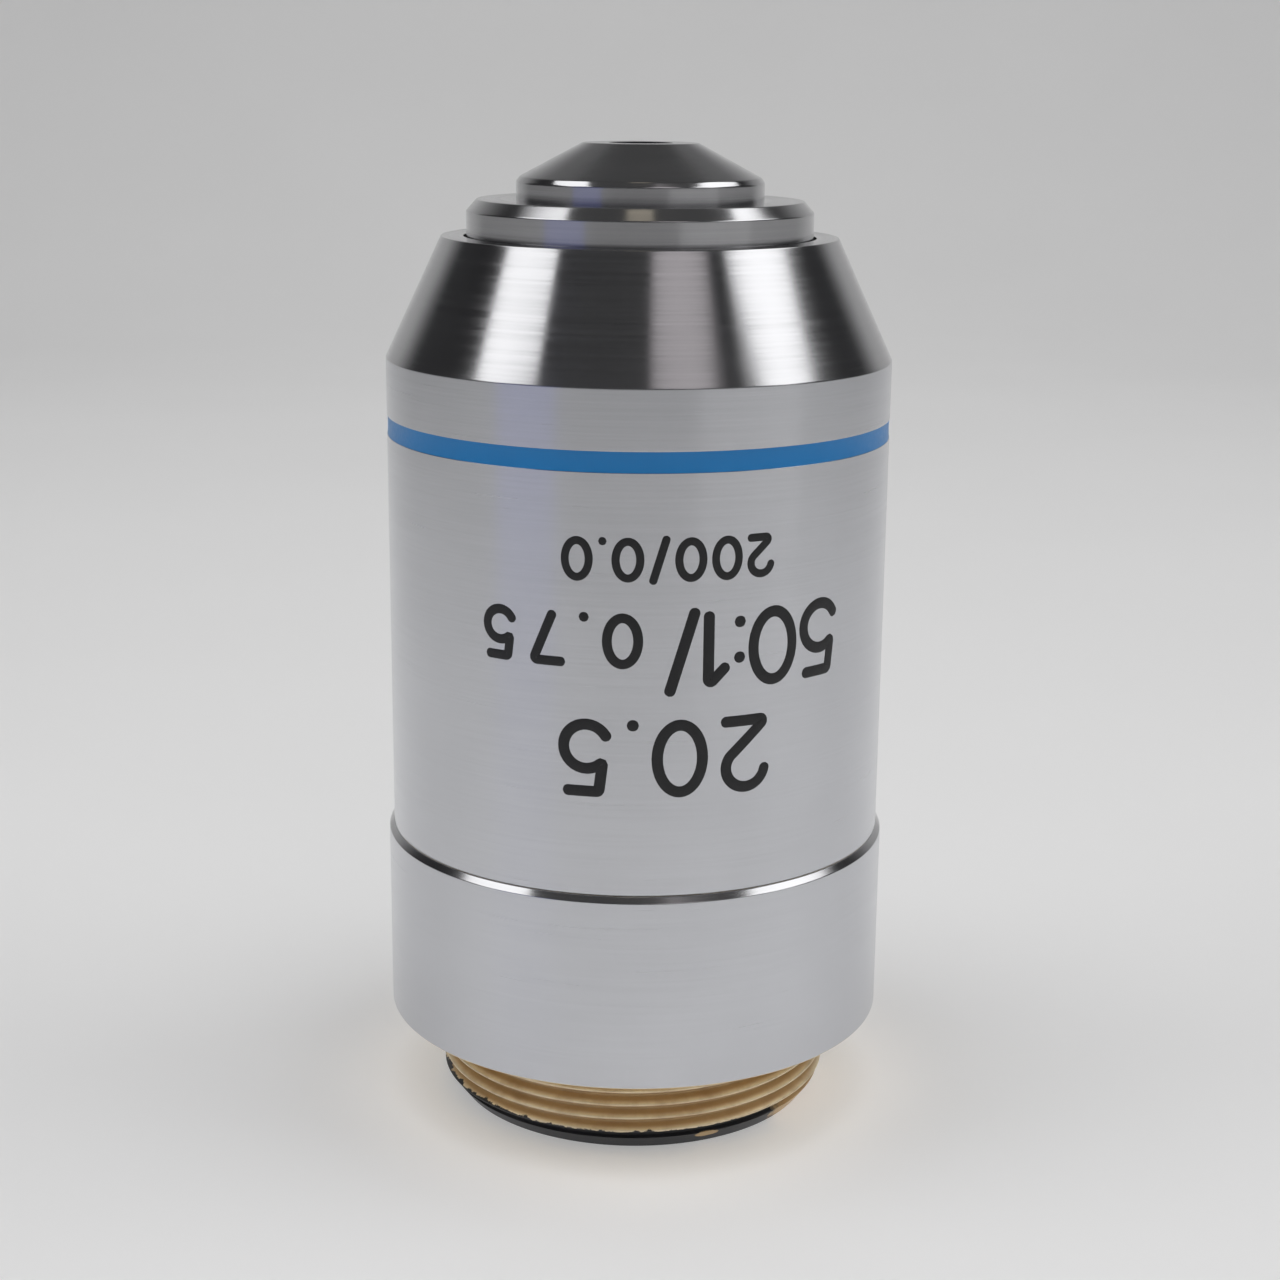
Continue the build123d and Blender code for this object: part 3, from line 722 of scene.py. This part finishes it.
# single-stroke figures on a cap height of 1: width, then strokes as (closed, points)
figures = {
    "0": (0.66, [(True, arcPoints(0.33, 0.5, 0.33, 0.5, 0, 360, 36)[:-1])]),
    "1": (0.24, [(False, [(0.0, 0.76), (0.24, 1.0), (0.24, 0.0)])]),
    "2": (0.64, [(False, arcPoints(0.32, 0.7, 0.31, 0.3, 170, -38, 24) + [(0.0, 0.0), (0.64, 0.0)])]),
    "5": (0.64, [(False, [(0.57, 1.0), (0.12, 1.0), (0.06, 0.5)]
                  + arcPoints(0.31, 0.33, 0.33, 0.33, 128, -150, 24))]),
    "7": (0.62, [(False, [(0.0, 1.0), (0.62, 1.0), (0.2, 0.0)])]),
    ":": (0.02, [(False, [(0.0, 0.1), (0.01, 0.1)]), (False, [(0.0, 0.62), (0.01, 0.62)])]),
    "/": (0.34, [(False, [(0.0, -0.06), (0.34, 1.06)])]),
    ".": (0.02, [(False, [(0.0, 0.0), (0.01, 0.0)])])}

strokeTree = startTree("roundStrokes", [
    ("Geometry", ["Strokes"]), ("Int", ["Corner Steps", "Sides"]), ("Material", ["Finish"]),
    ("Float", ["Surface Radius", "Proud", "Point Gap", "Corner"])])


def growStrokes(tree):
    # each stroke is a tube with round ends, pressed flat and then bent round the sleeve
    given = addNode(tree, "NodeGroupInput").outputs
    path = addNode(tree, "GeometryNodeMeshToCurve", {"Mesh": given["Strokes"]}).outputs[0]
    path = addNode(tree, "GeometryNodeFilletCurve", {
        "Curve": path, "Count": given["Corner Steps"], "Radius": given["Corner"],
        "Limit Radius": True}, mode="POLY").outputs[0]
    path = addNode(tree, "GeometryNodeResampleCurve", {
        "Curve": path, "Length": given["Point Gap"]}, mode="LENGTH").outputs[0]
    path = addNode(tree, "GeometryNodeSetCurveNormal", {"Curve": path}, mode="Z_UP").outputs[0]
    half = addNode(tree, "GeometryNodeInputNamedAttribute", {
        "Name": "halfStroke"}, data_type="FLOAT").outputs[0]
    gone = addNode(tree, "GeometryNodeSplineParameter").outputs["Length"]
    whole = addNode(tree, "GeometryNodeSplineLength").outputs["Length"]
    left = addNode(tree, "ShaderNodeMath", {0: whole, 1: gone}, operation="SUBTRACT").outputs[0]
    near = addNode(tree, "ShaderNodeMath", {0: gone, 1: left}, operation="MINIMUM").outputs[0]
    share = addNode(tree, "ShaderNodeMath", {0: near, 1: half}, operation="DIVIDE", use_clamp=True).outputs[0]
    loop = addNode(tree, "GeometryNodeInputSplineCyclic").outputs[0]
    share = addNode(tree, "ShaderNodeMath", {0: share, 1: loop}, operation="MAXIMUM").outputs[0]
    miss = addNode(tree, "ShaderNodeMath", {0: 1.0, 1: share}, operation="SUBTRACT").outputs[0]
    square = addNode(tree, "ShaderNodeMath", {0: miss, 1: miss}, operation="MULTIPLY").outputs[0]
    rest = addNode(tree, "ShaderNodeMath", {0: 1.0, 1: square}, operation="SUBTRACT").outputs[0]
    fullness = addNode(tree, "ShaderNodeMath", {0: rest}, operation="SQRT").outputs[0]
    scale = addNode(tree, "ShaderNodeMath", {0: fullness, 1: half}, operation="MULTIPLY").outputs[0]
    ring = addNode(tree, "GeometryNodeCurvePrimitiveCircle", {
        "Resolution": given["Sides"], "Radius": 1.0}, mode="RADIUS").outputs["Curve"]
    tube = addNode(tree, "GeometryNodeCurveToMesh", {
        "Curve": path, "Profile Curve": ring, "Scale": scale}).outputs[0]
    place = addNode(tree, "GeometryNodeInputPosition").outputs[0]
    parts = addNode(tree, "ShaderNodeSeparateXYZ", {0: place}).outputs
    lift = addNode(tree, "ShaderNodeMath", {
        0: parts["Z"], 1: given["Proud"], 2: given["Surface Radius"]}, operation="MULTIPLY_ADD").outputs[0]
    turn = addNode(tree, "ShaderNodeMath", {
        0: parts["X"], 1: given["Surface Radius"]}, operation="DIVIDE").outputs[0]
    sine = addNode(tree, "ShaderNodeMath", {0: turn}, operation="SINE").outputs[0]
    cosine = addNode(tree, "ShaderNodeMath", {0: turn}, operation="COSINE").outputs[0]
    x = addNode(tree, "ShaderNodeMath", {0: sine, 1: lift}, operation="MULTIPLY").outputs[0]
    y = addNode(tree, "ShaderNodeMath", {0: cosine, 1: lift}, operation="MULTIPLY").outputs[0]
    y = addNode(tree, "ShaderNodeMath", {0: y, 1: -1.0}, operation="MULTIPLY").outputs[0]
    bent = addNode(tree, "ShaderNodeCombineXYZ", {"X": x, "Y": y, "Z": parts["Y"]}).outputs[0]
    tube = addNode(tree, "GeometryNodeSetPosition", {"Geometry": tube, "Position": bent}).outputs[0]
    tube = addNode(tree, "GeometryNodeMergeByDistance", {"Geometry": tube, "Distance": mergeReach}).outputs[0]
    tube = addNode(tree, "GeometryNodeRealizeInstances", {"Geometry": tube}).outputs[0]
    tube = addNode(tree, "GeometryNodeSetMaterial", {
        "Geometry": tube, "Material": given["Finish"]}).outputs[0]
    addNode(tree, "NodeGroupOutput", {"Piece": tube})


growStrokes(strokeTree)


def strokeLine(row, radius):
    # lays out one line of figures as strokes (closed, points), points in mm along the sleeve and up it
    size = row["cap"] - row["stroke"]
    figuresHere = [figures[c] for c in row["text"]]
    room = math.radians(row["from"] - row["to"]) * radius - row["stroke"]
    gap = (room - size * sum(width for width, _ in figuresHere)) / (len(figuresHere) - 1)
    start = math.radians(row["from"]) * radius - row["stroke"] / 2
    foot = row["foot"] - row["stroke"] / 2
    strokes = []
    for width, parts in figuresHere:
        for closed, points in parts:
            laid = [Vector((start - x * size, foot - y * size)) for x, y in points]
            if not closed:  # room for the round ends
                half = row["stroke"] / 2
                laid[0] = laid[0] + (laid[0] - laid[1]).normalized() * half
                laid[-1] = laid[-1] + (laid[-1] - laid[-2]).normalized() * half
            strokes.append((closed, laid))
        start -= width * size + gap
    return strokes


def makeMarkings(s):
    points, edges, halves = [], [], []
    for row in s["lines"]:
        for closed, laid in strokeLine(row, s["radius"]):
            first = len(points)
            points += [(p.x * mm, p.y * mm, 0) for p in laid]
            halves += [row["stroke"] / 2 * mm] * len(laid)
            edges += [(first + i, first + i + 1) for i in range(len(laid) - 1)]
            if closed:
                edges.append((len(points) - 1, first))
    mesh = bpy.data.meshes.new("markings")
    mesh.from_pydata(points, edges, [])
    mesh.attributes.new("halfStroke", "FLOAT", "POINT").data.foreach_set("value", halves)
    piece = bpy.data.objects.new("markings", mesh)
    scene.collection.objects.link(piece)
    bakeTree(piece, strokeTree, {
        "Surface Radius": s["radius"] * mm, "Proud": s["proud"] / s["proudAtHalf"],
        "Point Gap": s["pointGap"] * mm, "Corner": s["corner"] * mm,
        "Corner Steps": s["cornerSteps"], "Sides": s["sides"], "Finish": markingPaint})
    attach(piece, "housing")


makeMarkings(markings)
print("markings made")

camera = {
    "lens": 62.16, "sensor": 36.0, "nearest": 1.0, "distance": 114.2, "target": (0.18, 0.0, 19.09),
    "elevation": 14.25, "roll": 0.52}


def makeCamera(s):
    lens = bpy.data.cameras.new("camera")
    lens.lens = s["lens"]
    lens.sensor_width = s["sensor"]
    lens.clip_start = s["nearest"] * mm
    view = bpy.data.objects.new("camera", lens)
    scene.collection.objects.link(view)
    e, r = math.radians(s["elevation"]), math.radians(s["roll"])
    back = Vector((0, -math.cos(e), math.sin(e)))
    up = Vector((0, math.sin(e), math.cos(e)))
    right = Vector((1, 0, 0))
    across = right * math.cos(r) + up * math.sin(r)
    upright = up * math.cos(r) - right * math.sin(r)
    axes = Matrix((across, upright, back)).transposed()
    spot = Vector(s["target"]) * mm + back * s["distance"] * mm
    view.matrix_world = Matrix.Translation(spot) @ axes.to_4x4()
    scene.camera = view


makeCamera(camera)

floor = {
    "height": -4.76, "flat": 330.0, "sweep": 170.0, "rise": 600.0, "segments": 128, "sweepSteps": 12,
    # painted shade: the front, side and high colours darken the walls where the room is unlit
    "pale": "#E8E8E8", "mottled": "#E3E3E3", "front": "#8A8A8C", "side": "#464648", "high": "#8E8E8E",
    "mottleSize": 60.0, "roughness": 0.6, "gloss": 0.4,
    "frontRange": (-0.35, -0.8), "behindRange": (0.52, 0.8),  # by direction: -1 in front, 1 behind
    "lowRange": (70.0, -4.0), "highRange": (100.0, 420.0),  # by height in mm
    # strength, reach and distance behind the object in mm
    # painted light: the card glows round the object's foot, lifting the shade there, and more widely behind
    # it
    "glows": [(0.64, 18.0, 0.0), (0.05, 60.0, 0.0), (0.175, 420.0, 330.0)]}


def makeFloor(s):
    # matt card, swept up all round so that it shows no edge; its walls carry painted shade, pale behind the
    # object, dimmer high up, grey in front and dark at the sides, and it glows as painted light round the
    # object and behind it
    finish, tree, place = startFinish("matt_card")
    parts, flat, radius = axisPlace(tree, place)
    mottle = addNode(tree, "ShaderNodeTexNoise", {
        "Vector": place, "Scale": 1 / (s["mottleSize"] * mm), "Detail": 2.0}).outputs["Fac"]
    card = addNode(tree, "ShaderNodeMix", {
        0: mottle, 6: linearColour(s["mottled"]), 7: linearColour(s["pale"])}, data_type="RGBA").outputs[2]
    facing = addNode(tree, "ShaderNodeMath", {0: parts["Y"], 1: radius}, operation="DIVIDE").outputs[0]
    steps = {}
    for name, value, unit in (
            ("front", facing, 1), ("behind", facing, 1), ("low", parts["Z"], mm), ("high", parts["Z"], mm)):
        start, end = s[name + "Range"]
        steps[name] = addNode(tree, "ShaderNodeMapRange", {
            0: value, 1: start * unit, 2: end * unit}, interpolation_type="SMOOTHSTEP").outputs[0]
    # painted shade: walls go dark at the sides, grey in front and dimmer high up behind
    tint = linearColour(s["side"])
    back = addNode(tree, "ShaderNodeMix", {
        0: steps["high"], 6: card, 7: linearColour(s["high"])}, data_type="RGBA").outputs[2]
    for name, colour in (("front", linearColour(s["front"])), ("low", card), ("behind", back)):
        tint = addNode(tree, "ShaderNodeMix", {
            0: steps[name], 6: tint, 7: colour}, data_type="RGBA").outputs[2]
    glow = 0.0
    for level, reach, behind in s["glows"]:
        away = addNode(tree, "ShaderNodeVectorMath", {
            0: flat, 1: (0, behind * mm, 0)}, operation="DISTANCE").outputs["Value"]
        share = addNode(tree, "ShaderNodeMapRange", {
            0: away, 1: reach * mm, 2: 0.0, 3: 0.0, 4: level}, interpolation_type="SMOOTHSTEP").outputs[0]
        glow = addNode(tree, "ShaderNodeMath", {0: share, 1: glow}, operation="ADD").outputs[0]
    surface = addNode(tree, "ShaderNodeBsdfPrincipled", {
        "Base Color": tint, "Roughness": s["roughness"], "Specular IOR Level": s["gloss"],
        "Emission Color": card, "Emission Strength": glow})
    endFinish(tree, surface)
    outline = [Vector((0, s["height"])), Vector((s["flat"], s["height"]))]
    for step in range(1, s["sweepSteps"] + 1):
        t = math.radians(90 * step / s["sweepSteps"])
        out = s["flat"] + s["sweep"] * math.sin(t)
        outline.append(Vector((out, s["height"] + s["sweep"] * (1 - math.cos(t)))))
    outline.append(Vector((s["flat"] + s["sweep"], s["height"] + s["rise"])))
    piece = outlineObject("floor", outline, closed=False)
    bakeTree(piece, turnedTree, {
        "Segments": s["segments"], "Inner Finish": finish, "Outer Finish": finish,
        "Outer Above": 0.0, "Outer Beyond": 0.0, **noTrim})


makeFloor(floor)

# softboxes, weak cards and fill: middle and aim (mm), direction of the long side, size (mm),
# radiance, tint, and whether it shows on bright metal and lights the card; what isn't given is
# as in usualLight
usualLight = {"aim": (0, 0, 20), "tint": "#FFFFFF", "onMetal": True, "onCard": True}
lights = {
    "leftBox": {"spot": (-357, -56, 383), "along": (0.294, 0.858, 0.422), "size": (226, 380),
                "radiance": 1.75},
    "rightBox": {"spot": (370, -5, 354), "along": (-0.165, 0.97, 0.176), "size": (224, 405),
                 "radiance": 1.9},
    "frontCard": {"spot": (154, -328, 380), "along": (0.4, 0.9, 0.6), "size": (190, 220),
                  "radiance": 0.59, "tint": "#FFF8FA"},
    "topCard": {"spot": (0, -83, 529), "along": (0, 1, 0), "size": (90, 90),
                "radiance": 0.51, "tint": "#FFF2D8"},
    "coolCard": {"spot": (-121, -105, 45), "along": (0, 0, 1), "size": (80, 110),
                 "radiance": 0.144, "tint": "#4A6CFF", "onCard": False},
    "rightCard": {"spot": (123, -103, 45), "along": (0, 0, 1), "size": (150, 110),
                  "radiance": 0.09, "onCard": False},
    "leftFill": {"spot": (-330, -60, 280), "along": (0, 1, 0), "size": (300, 300),
                 "radiance": 0.3, "onMetal": False},
    "rightFill": {"spot": (330, -60, 280), "along": (0, 1, 0), "size": (300, 300),
                  "radiance": 0.5, "onMetal": False},
    "lowFill": {"spot": (0, -300, 120), "aim": (0, 0, 0), "along": (0, 0, 1), "size": (500, 200),
                "radiance": 0.32, "onMetal": False},
    "nearFill": {"spot": (0, -30, 260), "aim": (0, 0, 0), "along": (0, 1, 0), "size": (240, 240),
                 "radiance": 2.0, "onMetal": False},
    "backFill": {"spot": (0, 160, 560), "aim": (0, 400, 0), "along": (0, 0.5, 0.5), "size": (700, 300),
                 "radiance": 0.45, "onMetal": False}}


def makeLights(rows):
    for name, row in rows.items():
        s = {**usualLight, **row}
        lamp = bpy.data.lights.new(name, "AREA")
        lamp.shape = "RECTANGLE"
        lamp.size, lamp.size_y = s["size"][0] * mm, s["size"][1] * mm
        lamp.energy = s["radiance"] * math.pi * lamp.size * lamp.size_y
        lamp.color = linearColour(s["tint"])[:3]
        piece = bpy.data.objects.new(name, lamp)
        spot = Vector(s["spot"]) * mm
        away = (spot - Vector(s["aim"]) * mm).normalized()
        along = Vector(s["along"])
        along = (along - away * along.dot(away)).normalized()
        axes = Matrix((along.cross(away), along, away)).transposed()
        piece.matrix_world = Matrix.Translation(spot) @ axes.to_4x4()
        piece.visible_camera = False
        piece.visible_glossy = s["onMetal"]
        piece.visible_diffuse = s["onCard"]
        scene.collection.objects.link(piece)


makeLights(lights)

room = {"colour": "#505050", "strength": 1.0}


def makeWorld(s):
    world = bpy.data.worlds.new("room")
    world.use_nodes = True
    tree = world.node_tree
    tree.nodes.clear()
    glow = addNode(tree, "ShaderNodeBackground", {
        "Color": linearColour(s["colour"]), "Strength": s["strength"]})
    addNode(tree, "ShaderNodeOutputWorld", {"Surface": glow.outputs[0]})
    scene.world = world


makeWorld(room)
scene.view_settings.view_transform = "Standard"
print("stage made")

# pieces whose solid is already the real shape
nodeFinishes = [
    (crownGlass, ["front_lens", "second_lens", "front_doublet_crown", "middle_doublet_crown", "rear_crown"]),
    (flintGlass, ["front_doublet_flint", "middle_doublet_flint", "rear_flint"]),
    (blackenedBrass, ["second_cell", "front_doublet_cell", "middle_doublet_cell", "aperture_stop",
                      "spacer_tube", "rear_cell", "rear_retaining_ring"]),
    (screwSteel, ["guide_screw"]), (shimBrass, ["parfocal_shim"])]
for finish, names in nodeFinishes:
    for name in names:
        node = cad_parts[name]
        node.data.materials.clear()
        node.data.materials.append(finish)
print("solids finished:", sum(len(names) for _, names in nodeFinishes))
